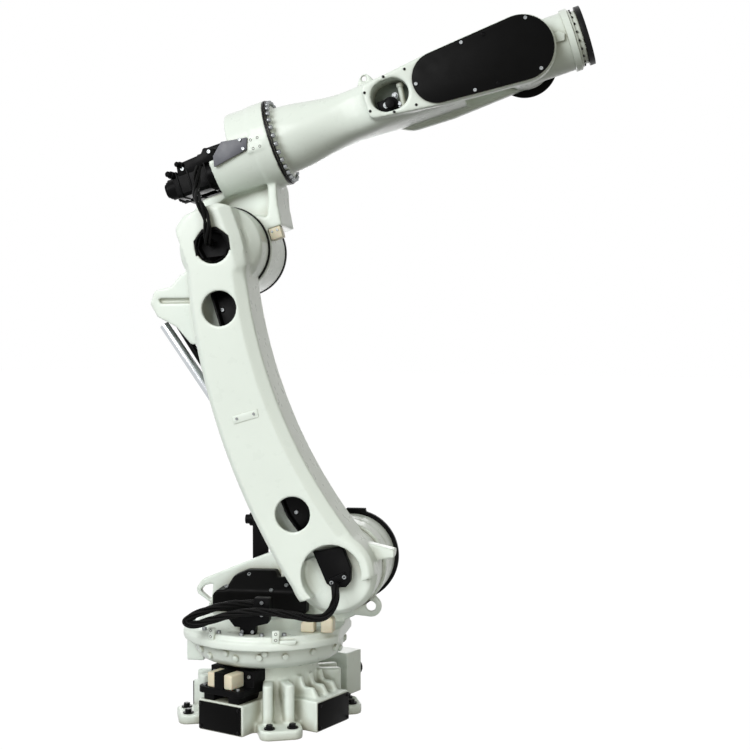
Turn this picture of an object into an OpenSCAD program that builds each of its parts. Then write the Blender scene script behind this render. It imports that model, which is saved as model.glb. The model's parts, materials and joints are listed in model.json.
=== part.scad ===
// Six-axis industrial robot arm, floor mounted, in millimetres.
// The origin is on the floor, on the turning axis. The base is square to X and Y.

/* [Reach] */
// Angle of the arm about the turning axis, from +X
heading = 24; // [0:1:40]
// Turning axis to shoulder axis
shoulder_x = 270; // [260:1:290]
// Height of the shoulder axis above the floor
shoulder_z = 540; // [535:1:560]
// Backward lean of the lower arm from upright
lean = 20.2; // [15:0.1:25]
// Shoulder axis to elbow axis
lower_link = 1145; // [1100:1:1200]
// Rise of the forearm above level
elevation = 17.6; // [12:0.1:22]
// Elbow axis to forearm axis
elbow_rise = 305; // [295:1:320]
// Elbow axis to wrist axis, along the forearm
forearm_link = 1146; // [1130:1:1200]
// Wrist axis to the face of the tool flange
tool_reach = 219; // [210:1:240]

/* [Base] */
// Half the long spacing of the floor bolts
bolt_far = 228; // [220:1:238]
// Half the short spacing of the floor bolts
bolt_near = 174; // [166:1:184]
// Diameter of a floor bolt hole
bolt_hole_d = 22; // [18:1:26]
// Thickness of the feet
foot_t = 32; // [24:1:40]
// Radius of a foot around its bolt
foot_r = 34; // [30:1:38]
// Radius of the neck under the turning ring
neck_r = 170; // [160:1:180]
// Height of the base, up to the turning ring
base_h = 214; // [206:1:222]
// Distance of the side boxes' faces from the turning axis
side_reach = 268; // [262:1:276]
// Width of a side box
side_w = 188; // [180:1:196]
// Height of a side box
side_h = 104; // [100:1:110]
// Thickness of the black cover on a side box
side_cover_t = 7; // [4:1:10]

/* [Turret] */
// Radius of the turret plate
plate_r = 297; // [290:1:305]
// Underside of the turret plate above the base
plate_rise = 73; // [68:1:78]
// Thickness of the turret plate
plate_t = 46; // [40:1:50]
// Inset of the turning ring from the plate's rim, at the base
ring_inset = 80; // [74:1:86]
// Flat front of the turret plate, from the turning axis
plate_front = 268; // [262:1:274]
// Radius of the shoulder drum
shoulder_r = 150; // [146:1:154]
// Near face of the shoulder column, from the arm's middle plane
column_near = 62; // [58:1:64]
// Far face of the shoulder column, from the arm's middle plane
column_far = 150; // [140:1:160]

/* [Lower arm] */
// Near face of the lower arm, from the arm's middle plane
arm_near = 270; // [262:1:276]
// Far face of the lower arm, from the arm's middle plane
arm_far = 70; // [68:1:76]
// Radius of the lower end
arm_low_r = 141; // [136:1:146]
// Half the width of the upper end
arm_top_half = 102; // [98:1:108]
// Half the width at the middle
arm_mid_half = 109; // [104:1:114]
// Backward bow of the arm at the middle
arm_bow = 87; // [80:1:94]
// Radius of the elbow disc
elbow_r = 142; // [138:1:146]
// Bevel along the back edge of the near face
arm_bevel = 16; // [10:1:20]
// Width of the bevel along the front edge of the near face
front_bevel = 38; // [30:1:44]
// Recess of the lower end's round face from the near face
hub_recess = 62; // [54:1:70]
// Height of the near face above the elbow axis
arm_crown = 130; // [122:1:138]
// Thickness of the casting's walls
arm_wall = 16; // [12:1:20]
// Radius of the three round windows
window_r = 58; // [54:1:62]
// Radius of the opening at the shoulder
shoulder_window_r = 100; // [94:1:104]

/* [Forearm] */
// Radius of the forearm flange ring
forearm_ring_r = 150; // [146:1:154]
// Elbow axis to the forearm flange, along the forearm
ring_along = 264; // [258:1:272]
// Radius of the tube at the ring
tube_r = 116; // [112:1:122]
// Half the width of the forearm at the wrist
forearm_half = 140; // [136:1:146]
// Half the width of the space between the fork arms
fork_half = 100; // [97:1:103]
// Bottom of the fork, from the wrist axis
fork_depth = 226; // [222:1:234]
// Radius of the oval cover at the forearm end
cover_small_r = 84; // [80:1:88]
// Radius of the oval cover at the wrist end
cover_big_r = 106; // [102:1:110]
// Distance between the two centres of the oval cover
cover_length = 287; // [280:1:292]
// Thickness of the oval cover
cover_t = 10; // [6:1:12]

/* [Tool flange] */
// Radius of the tool flange
flange_r = 99; // [96:1:102]
// Thickness of the tool flange
flange_t = 18; // [16:1:22]
// Pitch circle of the tool bolts
tool_pcd = 160; // [150:1:164]
// Diameter of a tool bolt hole
tool_hole_d = 12; // [10:1:14]
// Diameter of the pilot bore
pilot_d = 100; // [90:1:110]
// Depth of the pilot bore
pilot_depth = 10; // [8:1:12]

/* [Hidden] */
$fn = 64;
// Running gap between pieces that turn on each other
run_gap = 0.3;
// Extra length that lets a cut pass right through a face
cut = 1;
// Free side of a moving piece
side_gap = 5;
tool_bolt_count = 6;
plate_z = base_h + plate_rise;
deck_z = plate_z + plate_t;
ring_r = plate_r - ring_inset;
bend = lean - elevation;
white = "#DEE8DE";
black = "#1B1C1E";
cream = "#E3CDA8";
silver = "#C4C8CC";
grey = "#4A4C55";

// Frames, each drawn in the one before it
module on_turret() {
    rotate([0, 0, heading]) children();
}
module on_lower() {
    on_turret() translate([shoulder_x, 0, shoulder_z]) rotate([0, -lean, 0]) children();
}
module on_upper() {
    on_lower() translate([0, 0, lower_link]) rotate([0, bend, 0]) children();
}
module on_fore() {
    on_upper() translate([0, 0, elbow_rise]) children();
}
module on_wrist() {
    on_fore() translate([forearm_link, 0, 0]) children();
}

// A flat outline drawn in X and Z, with its depth from y0 to y1
module slab(y0, y1) {
    translate([0, y1, 0]) rotate([90, 0, 0]) linear_extrude(y1 - y0) children();
}
// A drum across the arm at (x, z), with its depth from y0 to y1
module drum(y0, y1, r, x = 0, z = 0) {
    translate([x, y1, z]) rotate([90, 0, 0]) cylinder(h = y1 - y0, r = r);
}
// A drum whose near edge is bevelled
module bevelled_drum(y0, y1, r, bevel, x = 0, z = 0) {
    drum(y0 + bevel, y1, r, x, z);
    translate([x, y0 + bevel, z]) rotate([90, 0, 0]) cylinder(h = bevel, r1 = r, r2 = r - bevel);
}
// A round bar along the forearm from x0 to x1
module bar(x0, x1, r, y = 0, z = 0) {
    translate([x0, y, z]) rotate([0, 90, 0]) cylinder(h = x1 - x0, r = r);
}
// A box given by its lowest and highest corners
module block(low, high) {
    translate(low) cube(high - low);
}

function mid(p, q) = (p + q) / 2;
// Centre of the circle through three points
function circle_centre(p, q, r) =
    let (a = q - p, b = r - p, d = 2 * (a.x * b.y - a.y * b.x),
         aa = a * a, bb = b * b)
    [p.x + (b.y * aa - a.y * bb) / d, p.y + (a.x * bb - b.x * aa) / d];

// A tube swept along points, with flat sides
sides = 10;
function unit(v) = v / norm(v);
function heading_at(points, i) =
    let (last = len(points) - 1)
    unit(points[min(i + 1, last)] - points[max(i - 1, 0)]);
function ring_at(points, i, r) =
    let (t = heading_at(points, i),
         up = abs(t.y) < 0.8 ? [0, 1, 0] : [1, 0, 0],
         u = unit(cross(t, up)), v = cross(t, u))
    [for (k = [0 : sides - 1]) points[i] + r * (cos(360 * k / sides) * u + sin(360 * k / sides) * v)];
module tube(points, r) {
    rings = len(points);
    skin = [for (i = [0 : rings - 1]) each ring_at(points, i, r)];
    walls = [for (i = [0 : rings - 2]) for (k = [0 : sides - 1])
        let (a = i * sides + k, b = i * sides + (k + 1) % sides)
        each [[a, b, b + sides], [a, b + sides, a + sides]]];
    start = [for (k = [0 : sides - 1]) sides - 1 - k];
    end = [for (k = [0 : sides - 1]) (rings - 1) * sides + k];
    polyhedron(points = skin, faces = concat(walls, [start, end]), convexity = 6);
}

// Base
module floor_bolt_places() {
    for (sx = [-1, 1], sy = [-1, 1]) {
        translate([sx * bolt_far, sy * bolt_near, 0]) children();
        translate([sx * bolt_near, sy * bolt_far, 0]) children();
    }
}
rib_w = 34;
rib_top = 162;
rib_end = neck_r + 62;
rib_turn = 9;
cone_h = 118;
cone_flare = 60;
spot_r = 21;
fin_w = 20;
fin_pitch = 56;
fin_step = 34;
module corner_foot() {
    middle = (bolt_far + bolt_near) / sqrt(2);
    half = (bolt_far - bolt_near) / sqrt(2);
    for (s = [-1, 1]) translate([middle, s * half, 0]) cylinder(h = foot_t, r = foot_r);
    block([0, -half, 0], [middle + foot_r, half, foot_t]);
    block([0, -half - foot_r, 0], [middle, half + foot_r, foot_t]);
}
// A rib that ends in a round post
module base_rib(angle) {
    rotate(angle) {
        block([0, -rib_w / 2, 0], [rib_end, rib_w / 2, rib_top]);
        translate([rib_end, 0, 0]) cylinder(h = rib_top, r = rib_w / 2);
    }
}
// Three stepped fins from the neck down to the top of a side box
module box_fins() {
    for (k = [-1 : 1]) slab(k * fin_pitch - fin_w / 2, k * fin_pitch + fin_w / 2) polygon([
        [0, side_h - cut], [side_reach - fin_w, side_h - cut], [side_reach - fin_w, side_h + cut],
        [side_reach - 2 * fin_w, side_h + fin_step], [neck_r + fin_w, side_h + fin_step],
        [neck_r + fin_w / 2, side_h + 2 * fin_step], [0, side_h + 2 * fin_step]]);
}
module neck_cone(grow) {
    cylinder(h = cone_h, r1 = neck_r + cone_flare + grow, r2 = neck_r + grow);
}
module base_casting() {
    color(white) difference() {
        union() {
            cylinder(h = base_h - run_gap, r = neck_r);
            neck_cone(0);
            for (k = [0 : 3]) rotate(90 * k) {
                block([0, -side_w / 2, 0], [side_reach, side_w / 2, side_h]);
                rotate(45) corner_foot();
                for (s = [-1, 1]) base_rib(45 + s * rib_turn);
                if (k < 3) box_fins();
            }
        }
        floor_bolt_places() {
            translate([0, 0, -cut]) cylinder(h = foot_t + 2 * cut, d = bolt_hole_d);
            translate([0, 0, foot_t]) cylinder(h = base_h, r = spot_r);
        }
    }
}
// The black cover on one side box
cover_margin = 6;
module base_cover(angle) {
    color(black) rotate(angle)
        block([side_reach, cover_margin - side_w / 2, cover_margin],
              [side_reach + side_cover_t, side_w / 2 - cover_margin, side_h - cover_margin]);
}
module base_cover_front() { base_cover(-90); }
module base_cover_right() { base_cover(0); }
module base_cover_left() { base_cover(180); }
// Cable connector box on the rear side box
box_left = -100;
box_right = 144;
box_deep = 92;
box_low = foot_t - 8;
box_high = 176;
module connector_box() {
    color(white) block([box_left, side_reach, box_low], [box_right, side_reach + box_deep, box_high]);
}
// Stop bracket at the front of the base, with its two cushions
bracket_half = 92;
bracket_in = neck_r + run_gap;
bracket_out = side_reach + 14;
shelf_low = side_h + 26;
shelf_t = 20;
shelf_corner = 26;
stop_top = base_h - 10;
cushion_half = 52;
cushion_in = 205;
rib_half = 18;
module stop_bracket() {
    color(black) rotate(-90) difference() {
        union() {
            block([0, -bracket_half, shelf_low], [bracket_out - shelf_corner, bracket_half, shelf_low + shelf_t]);
            block([0, shelf_corner - bracket_half, shelf_low],
                  [bracket_out, bracket_half - shelf_corner, shelf_low + shelf_t]);
            for (s = [-1, 1])
                translate([bracket_out - shelf_corner, s * (bracket_half - shelf_corner), shelf_low])
                    cylinder(h = shelf_t, r = shelf_corner);
            block([0, -bracket_half, shelf_low], [cushion_in, bracket_half, stop_top]);
            block([0, -rib_half, shelf_low], [bracket_out - 4, rib_half, stop_top]);
            for (s = [-1, 1]) translate([0, s * cushion_half, 0])
                block([0, -22, side_h + run_gap], [side_reach - 4, 22, shelf_low]);
        }
        translate([0, 0, -cut]) cylinder(h = base_h + 2 * cut, r = bracket_in);
        neck_cone(run_gap);
        for (side = [-45, 45]) base_rib(side - rib_turn * sign(side));
    }
}
module stop_bumpers() {
    color(cream) rotate(-90) for (s = [-1, 1])
        mirror([0, s < 0 ? 1 : 0, 0])
            block([cushion_in + run_gap, rib_half + run_gap, shelf_low + shelf_t + run_gap],
                  [bracket_out - 8, cushion_half, stop_top - 4]);
}

// Turret
ring_flare = 44;
rim_step = 12;
boss_x = -40;
boss_h = 34;
boss_top = deck_z + boss_h;
boss_r = 205;
boss_slope = 25;
module bearing_ring() {
    translate([0, 0, base_h]) rotate_extrude() polygon([
        [0, 0], [ring_r, 0], [ring_r + 0.5 * ring_flare, 0.14 * plate_rise],
        [ring_r + 0.8 * ring_flare, 0.34 * plate_rise], [ring_r + 0.95 * ring_flare, 0.62 * plate_rise],
        [ring_r + ring_flare, plate_rise], [0, plate_rise]]);
}
// Raised middle of the deck, under the motor's cover
module deck_boss() {
    translate([boss_x, 0, deck_z]) cylinder(h = boss_h, r1 = boss_r, r2 = boss_r - boss_slope);
}
module turret_casting() {
    color(white) on_turret() difference() {
        union() {
            bearing_ring();
            translate([0, 0, plate_z]) cylinder(h = plate_t, r = plate_r - rim_step);
            translate([0, 0, plate_z]) cylinder(h = plate_t * 0.6, r = plate_r);
            deck_boss();
        }
        block([plate_front, -plate_r, plate_z - cut], [plate_r + cut, plate_r, deck_z + cut]);
    }
}
// The column that carries the shoulder, with its bearing flange and a groove round the drum
column_foot_back = 40;
column_front = 0;
groove_y = [28, 36];
groove_depth = 7;
module shoulder_column() {
    color(white) on_turret() difference() {
        union() {
            drum(-column_near, groove_y[0], shoulder_r, shoulder_x, shoulder_z);
            drum(-column_near, column_far, shoulder_r - groove_depth, shoulder_x, shoulder_z);
            drum(groove_y[1], column_far, shoulder_r, shoulder_x, shoulder_z);
            slab(column_front, column_far) polygon([
                [column_foot_back, deck_z], [plate_front - 12, deck_z], [shoulder_x + 32, deck_z + 22],
                [shoulder_x + 60, deck_z + 60], [shoulder_x + 100, shoulder_z - 100],
                [shoulder_x, shoulder_z + 100], [shoulder_x - 120, shoulder_z + 80],
                [column_foot_back, shoulder_z - 20]]);
        }
        deck_boss();
    }
}
dog_w = 44;
dog_low = 184;
dog_edge = 4;
dog_clear = 14;
module stop_dog() {
    color(white) on_turret() difference() {
        block([dog_edge - plate_r, -dog_w / 2, dog_low], [-ring_r - dog_clear, dog_w / 2, plate_z]);
        bearing_ring();
    }
}
// Rear lifting web with a three-sided eye
web_y = [40, 70];
web_tip = [-276, shoulder_z - 124];
module lifting_web() {
    color(white) on_turret() difference() {
        slab(web_y[0], web_y[1]) polygon([
            web_tip - [8, 0], web_tip + [20, 42], web_tip + [154, 99],
            [column_foot_back, shoulder_z + 40], [column_foot_back, boss_top],
            [boss_x - 174, boss_top]]);
        slab(web_y[0] - cut, web_y[1] + cut) polygon([
            web_tip + [14, 2], web_tip + [30, 20], web_tip + [62, 29], web_tip + [54, -30]]);
    }
}
// Lifting lug in front of the shoulder column
lug_x = shoulder_x + 98;
lug_z = shoulder_z - 137;
lug_r = 36;
lug_hole_r = 17;
lug_y = [-column_near - 2, -column_near + 12];
module front_lifting_lug() {
    color(white) on_turret() difference() {
        union() {
            drum(lug_y[0], lug_y[1], lug_r, lug_x, lug_z);
            slab(lug_y[0], lug_y[1]) polygon([
                [lug_x, lug_z - lug_r], [lug_x + lug_r * 0.7, lug_z + lug_r * 0.7],
                [shoulder_x + 80, shoulder_z - 60], [shoulder_x + 20, shoulder_z - 120],
                [shoulder_x + 40, shoulder_z - 168]]);
        }
        drum(lug_y[0] - cut, lug_y[1] + cut, lug_hole_r, lug_x, lug_z);
        drum(lug_y[0] - cut, lug_y[1] + cut, shoulder_r + run_gap, shoulder_x, shoulder_z);
    }
}
// Black cover over the motor that turns the arm, with a sloping top
cover_y = [-60, web_y[0] - run_gap];
cover_back = -190;
cover_tip = 142;
cover_top = shoulder_z - 34;
cover_brow = shoulder_z - 98;
cover_top_y = -4;
module turning_motor_cover() {
    color(black) on_turret() difference() {
        slab(cover_y[0], cover_y[1]) polygon([
            [cover_back, boss_top], [cover_back, cover_brow - 18], [cover_back + 16, cover_brow],
            [cover_back + 44, cover_brow], [cover_back + 68, cover_top - 20], [cover_back + 110, cover_top - 2],
            [cover_back + 212, cover_top], [cover_back + 222, cover_top - 22], [cover_tip - 58, cover_top - 17],
            [cover_tip, cover_brow - 26], [cover_tip, boss_top]]);
        translate([cover_back - cut, cover_y[0], cover_brow])
            rotate([atan2(cover_top - cover_brow, cover_top_y - cover_y[0]), 0, 0])
            block([0, -plate_r, 0], [cover_tip - cover_back + 2 * cut, 2 * plate_r, plate_r]);
        block([column_foot_back - run_gap, column_front - run_gap, deck_z - cut],
              [shoulder_x, cover_y[1] + cut, shoulder_z + shoulder_r]);
        drum(cover_y[0] - cut, cover_y[1] + cut, shoulder_r + side_gap, shoulder_x, shoulder_z);
    }
}
// Bracket that clamps the cable harness in front of the cover
harness_bracket_y = [-plate_r + 52, -plate_r + 86];
clamp_top = deck_z + 122;
clamp_y = harness_bracket_y[0] + 19;
module harness_bracket() {
    color(black) on_turret() {
        slab(harness_bracket_y[0], harness_bracket_y[1]) polygon([
            [-86, clamp_top - 66], [-60, clamp_top - 98], [-42, clamp_top - 98], [-42, deck_z],
            [10, deck_z], [10, clamp_top - 94], [52, clamp_top - 84], [58, clamp_top - 72], [58, clamp_top],
            [8, clamp_top], [-2, clamp_top - 60]]);
    }
}
// Motor of the shoulder, on the far side of the column
shoulder_motor_r = 82;
shoulder_motor_l = 250;
shoulder_flange_t = 24;
flange_grow = 12;
module shoulder_motor() {
    color(black) on_turret() {
        drum(column_far, column_far + shoulder_flange_t, shoulder_r + flange_grow, shoulder_x, shoulder_z);
        drum(column_far + shoulder_flange_t, column_far + shoulder_motor_l, shoulder_motor_r,
             shoulder_x, shoulder_z);
        block([shoulder_x - 26, column_far, shoulder_z],
              [shoulder_x + 44, column_far + shoulder_flange_t, shoulder_z + shoulder_r + 1.5 * flange_grow]);
    }
}
// Bracket and plug of the cable junction behind the column
junction_y = [150, 210];
junction_x = [-96, -40];
junction_low = shoulder_z + 60;
junction_top = shoulder_z + 140;
plug_r = 24;
module junction_bracket() {
    color(black) on_turret() {
        difference() {
            block([junction_x[0], junction_y[0] - 10, deck_z], [junction_x[1], junction_y[0] + 6, junction_top]);
            deck_boss();
        }
        block([junction_x[0], junction_y[0] + 6, junction_low], [junction_x[1] + 6, junction_y[1], junction_top]);
    }
}
module junction_plug() {
    color(black) on_turret()
        translate([junction_x[0], mid(junction_y[0], junction_y[1]) + 6, junction_top - plug_r])
            rotate([0, -90, 0]) {
                cylinder(h = 20, r = plug_r);
                translate([0, 0, 20]) cylinder(h = 16, r = 17);
            }
}
// Cushions that stop the lower arm
shoulder_cushion_y = [-185, -135];
cushion_gap = 10;
stop_z = shoulder_z - arm_low_r - cushion_gap;
module shoulder_bumpers() {
    color(cream) on_turret() {
        slab(shoulder_cushion_y[0], shoulder_cushion_y[1]) polygon([
            [plate_front - 50, deck_z], [plate_front - 8, deck_z], [plate_front - 8, stop_z - 10],
            [plate_front - 28, stop_z], [plate_front - 50, stop_z - 16]]);
        slab(shoulder_cushion_y[0], shoulder_cushion_y[1]) polygon([
            [150, deck_z], [196, deck_z], [196, stop_z - 20], [172, stop_z - 12], [150, stop_z - 28]]);
    }
}

// Cable harness between the turret and the lower arm
harness_r = 13;
harness_y = -arm_near - harness_r - 12;
function out_to(t) = lerp(clamp_y, harness_y, t);
lower_route = [
    [1.5, clamp_y, 432], [-60, out_to(0.17), 431], [-105, out_to(0.37), 425], [-150, out_to(0.56), 413],
    [-186, out_to(0.7), 399], [-206, out_to(0.82), 387], [-213, out_to(0.9), 377], [-198, out_to(0.95), 370],
    [-170, out_to(0.97), 373], [-130, harness_y, 386], [-80, harness_y, 402], [-30, harness_y, 414],
    [20, harness_y, 420], [70, harness_y, 420], [120, harness_y, 416], [170, harness_y, 410],
    [215, harness_y, 405], [252, harness_y, 412], [276, harness_y, 434], [288, harness_y, 466],
    [290, harness_y, 494], [284, harness_y + 14, 514]];
module harness_lower() {
    color(black) on_turret() tube(lower_route, harness_r);
}

// Lower arm
back_edge = circle_centre([-arm_low_r, 0], [-arm_bow - arm_mid_half, lower_link / 2],
                          [-arm_top_half, lower_link]);
front_edge = circle_centre([arm_low_r, 0], [arm_mid_half - arm_bow, lower_link / 2],
                           [arm_top_half, lower_link]);
back_r = norm(back_edge - [-arm_low_r, 0]);
front_r = norm(front_edge - [arm_low_r, 0]);
// The bowed bar of the arm, between two large arcs, with its near edges bevelled
module bowed_bar(y0, y1, back_cut, front_cut, wall, z0, z1) {
    intersection() {
        difference() {
            bevelled_drum(y0, y1, back_r - wall, back_cut, back_edge.x, back_edge.y, $fn = 256);
            drum(y0 - cut, y1 + cut, front_r + wall, front_edge.x, front_edge.y, $fn = 256);
            if (front_cut > 0) translate([front_edge.x, y0 + front_depth, front_edge.y]) rotate([90, 0, 0])
                cylinder(h = front_depth + cut, r1 = front_r,
                         r2 = front_r + front_cut * (1 + cut / front_depth), $fn = 256);
        }
        block([-2 * arm_low_r, y0 - cut, z0], [2 * arm_low_r, y1 + cut, z1]);
    }
}
front_depth = 24;
pocket_floor = -185;
hub_face = hub_recess - arm_near;
boss_d = 236;
bar_foot = -50;
window_places = [[-50, 0.825 * lower_link], [-52, 0.2 * lower_link]];
lug_thick = [-arm_far - 110, -arm_far - 8];
lug_slot = 16;
module rear_lug() {
    slab(lug_thick[0], lug_thick[1]) polygon([
        [-60, lower_link - 20], [-163, lower_link - 38], [-202, lower_link - 62],
        [-262, lower_link - 55], [-292, lower_link - 91], [-284, lower_link - 142],
        [-262, lower_link - 165], [-233, lower_link - 197], [-206, lower_link - 269],
        [-120, lower_link - 300]]);
}
// The ledge under the rib of the rear lug
module lug_ledge() {
    slab(lug_thick[0] - cut, lug_thick[0] + lug_slot) polygon([
        [-262, lower_link - 84], [-150, lower_link - 125], [-150, lower_link - 141], [-256, lower_link - 104]]);
}
module arm_back() {
    drum(-arm_near, 0, back_r, back_edge.x, back_edge.y, $fn = 256);
}
module lower_arm_casting() {
    color(white) on_lower() difference() {
        union() {
            bowed_bar(-arm_near, -arm_far, arm_bevel, front_bevel, 0, 0, lower_link);
            intersection() {
                bevelled_drum(-arm_near, -arm_far, arm_low_r, arm_bevel);
                block([-arm_low_r, -arm_near - cut, bar_foot], [arm_low_r, 0, arm_low_r]);
            }
            intersection() {
                bevelled_drum(-arm_near, -arm_far, elbow_r, arm_bevel, 0, lower_link);
                block([-arm_top_half, -arm_near - cut, lower_link - arm_top_half],
                      [arm_top_half, 0, lower_link + arm_crown]);
            }
            bevelled_drum(hub_face, -arm_far, arm_low_r, arm_bevel);
            bevelled_drum(-arm_near + 70, -arm_far, elbow_r, 30, 0, lower_link);
            drum(-arm_far, -column_near - run_gap, boss_d / 2);
            drum(-arm_far, -column_near - run_gap, boss_d / 2, 0, lower_link);
            rear_lug();
            slab(-175, -115) polygon([
                [90, 80], [119, 60], [208, 2], [196, -22], [140, -12], [100, -40]]);
        }
        bowed_bar(-arm_near + arm_wall, pocket_floor, 0, 0, arm_wall, shoulder_window_r - 30, lower_link - 30);
        drum(-arm_near - cut, hub_face, shoulder_window_r);
        drum(-arm_near - cut, pocket_floor, window_r, 0, lower_link);
        for (p = window_places) drum(-arm_near - cut, -arm_near + arm_wall + cut, window_r, p.x, p.y);
        lug_ledge();
    }
}
// Cable trough inside the arm
trough_back = pocket_floor - run_gap;
trough_front = -226;
trough_low = 150;
trough_high = lower_link - 120;
trough_wall = 8;
module trough_outline(wall) {
    polygon([
        [-60 + wall, trough_low - (wall > 0 ? cut : 0)], [24 - wall, trough_low - (wall > 0 ? cut : 0)],
        [-4 - wall, 0.2 * lower_link], [-18 - wall, lower_link / 2], [0 - wall, trough_high + (wall > 0 ? cut : 0)],
        [-72 + wall, trough_high + (wall > 0 ? cut : 0)], [-96 + wall, lower_link / 2],
        [-84 + wall, 0.2 * lower_link]]);
}
module cable_trough() {
    color(black) on_lower() difference() {
        slab(trough_front, trough_back) trough_outline(0);
        slab(trough_front - cut, trough_back - trough_wall) trough_outline(trough_wall);
    }
}
// Guides with eight sides that lead the cables in and out of the arm
guide_face = 6 - arm_near;
guide_r = window_r - 1;
guide_wall = 9;
guide_depth = 30;
module upper_cable_guide() {
    color(black) on_lower() translate([0, 0, lower_link]) rotate([0, 12, 0])
        difference() {
            slab(guide_face, trough_back) circle(r = guide_r, $fn = 8);
            slab(guide_face - cut, guide_face + guide_depth) circle(r = guide_r - guide_wall, $fn = 8);
        }
}
module lower_cable_guide() {
    color(black) on_lower() slab(guide_face + 24, hub_face - run_gap) polygon([
        [-38, 92], [62, 74], [64, 0], [46, -42], [26, -54], [-18, -42], [-31, -22]]);
}
// Gas balancer beside the back of the arm, from the rear lug to a seat on the casting
balancer_top = [-286, lower_link - 168];
balancer_foot = [-188, 0.52 * lower_link];
tube_top = [-246, lower_link - 186];
tube_foot = [-186, 0.6 * lower_link];
balancer_y = -124;
tube_y = -92;
rod_r = 17;
module between(p, q, y, r) {
    run = q - p;
    translate([p.x, y, p.y]) rotate([0, atan2(run.x, run.y), 0]) cylinder(h = norm(run), r = r);
}
module balancer_rod() {
    color(silver) on_lower() difference() {
        between(balancer_top, balancer_foot, balancer_y, rod_r);
        arm_back();
        rear_lug();
    }
}
module balancer_tube() {
    color(black) on_lower() difference() {
        between(tube_top, tube_foot, tube_y, 12);
        arm_back();
        rear_lug();
    }
}

// Upper arm
housing_back = 122;
housing_r = 147;
collar_along = 204;
cushion_seat = 24;
neck_top = elbow_rise - 110;
pad_x = [180, 238];
pad_z = [elbow_rise - 32, elbow_rise + 18];
leg_recess = 45;
leg_front = 224;
// The lower half of the housing reaches further back, to the seats of two wrist motors
motor_y = 62;
motor_z = -46;
seat_top = -12;
seat_back = 42;
module upper_arm_housing() {
    color(white) on_upper() difference() {
        union() {
            drum(-column_near, column_far, elbow_r + 8);
            translate([0, 0, elbow_rise]) bar(collar_along, ring_along, forearm_ring_r);
            block([pad_x[0], -forearm_ring_r, pad_z[0]], [pad_x[1], 0, pad_z[1]]);
            translate([0, 0, elbow_rise]) difference() {
                bar(seat_back, ring_along, housing_r);
                slab(-housing_r - cut, housing_r + cut) polygon([
                    [seat_back - cut, seat_top], [housing_back, seat_top],
                    [housing_back, housing_r + cut], [seat_back - cut, housing_r + cut]]);
            }
            slab(-column_near, column_far - 12) polygon([
                [-146, 20], [-82, 166], [-30, neck_top], [housing_back, neck_top],
                [housing_back, elbow_rise], [leg_front, elbow_rise - 20],
                [leg_front, elbow_rise - 150], [leg_front - 14, 100], [leg_front - 22, cushion_seat],
                [140, cushion_seat]]);
        }
        slab(-column_near - cut, leg_recess - column_near) polygon([
            [-20, 150], [60, 180], [196, 176], [184, 120], [162, 66], [110, 90]]);
    }
}
elbow_motor_r = 78;
elbow_motor_l = 230;
module elbow_motor() {
    color(black) on_upper() {
        drum(column_far, column_far + 20, elbow_r + 10);
        drum(column_far + 20, column_far + elbow_motor_l, elbow_motor_r);
    }
}
// One of the three motors that drive the wrist, lying along the forearm.
// Its body is square with rounded corners, between a round foot and a round cap
wrist_motor_r = 46;
wrist_motor_small_r = 34;
top_motor_z = 30;
motor_tail = -131;
top_motor_tail = -20;
motor_foot = 24;
motor_cap = 26;
motor_lip = 4;
module wrist_motor(y, z, back, front, r) {
    side = 0.92 * r;
    color(black) on_fore() {
        bar(front - motor_foot, front, r + motor_lip, y, z);
        intersection() {
            bar(back + motor_cap, front - motor_foot, 1.16 * r, y, z);
            block([back, y - side, z - side], [front, y + side, z + side]);
        }
        bar(back, back + motor_cap, r - 10, y, z);
    }
}
module wrist_motor_near() { wrist_motor(-motor_y, motor_z, motor_tail, seat_back, wrist_motor_r); }
module wrist_motor_far() { wrist_motor(motor_y, motor_z, motor_tail, seat_back, wrist_motor_r); }
module wrist_motor_top() { wrist_motor(0, top_motor_z, top_motor_tail, housing_back, wrist_motor_small_r); }
// Sheet bracket on the near side of the housing that carries the harness
sheet_t = 6;
module motor_bracket() {
    color(grey) on_upper() slab(-forearm_ring_r - sheet_t, -forearm_ring_r) polygon([
        [59, elbow_rise - 39], [66, elbow_rise - 2], [107, elbow_rise + 34], [196, elbow_rise + 19],
        [pad_x[0] + 2, elbow_rise - 19]]);
}
module elbow_bumper() {
    color(cream) on_upper() block([elbow_r + 10, -column_near + 2, -16], [194, -column_near + 48, cushion_seat]);
}
// Cable harness between the lower arm and the wrist motors
upper_route = [
    [-6, guide_face + guide_depth - run_gap, lower_link + 16], [-6, -arm_near - 12, lower_link + 16],
    [10, -arm_near - 26, lower_link + 50], [20, -arm_near - 26, lower_link + 90], [16, -arm_near - 26, lower_link + 134],
    [4, -arm_near + 18, lower_link + 176], [0, -arm_near + 68, lower_link + 210],
    [10, -arm_near + 86, lower_link + 250], [26, -arm_near + 94, lower_link + 280]];
module harness_upper() {
    color(black) on_lower() tube(upper_route, harness_r);
}

// Forearm, lofted from a round tube to the flat-sided wrist box
loft_sides = 48;
function ease(t) = t * t * (3 - 2 * t);
function lerp(a, b, t) = a + (b - a) * t;
function clamp01(t) = min(1, max(0, t));
tube_start = ring_along + 18;
waist_along = 540;
box_along = 680;
waist_y = 98;
waist_z = 82;
pad_rise = 12;
function half_y(x) = x < waist_along
    ? lerp(tube_r, waist_y, ease(clamp01((x - tube_start) / (waist_along - tube_start))))
    : lerp(waist_y, forearm_half - pad_rise, ease(clamp01((x - waist_along) / (box_along - waist_along))));
function half_z(x) = lerp(tube_r, waist_z, ease(clamp01((x - tube_start) / (waist_along - tube_start))));
function squareness(x) = lerp(2, 4, ease(clamp01((x - tube_start - 100) / (box_along - tube_start - 100))));
function signed_power(v, e) = sign(v) * pow(abs(v), e);
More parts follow.
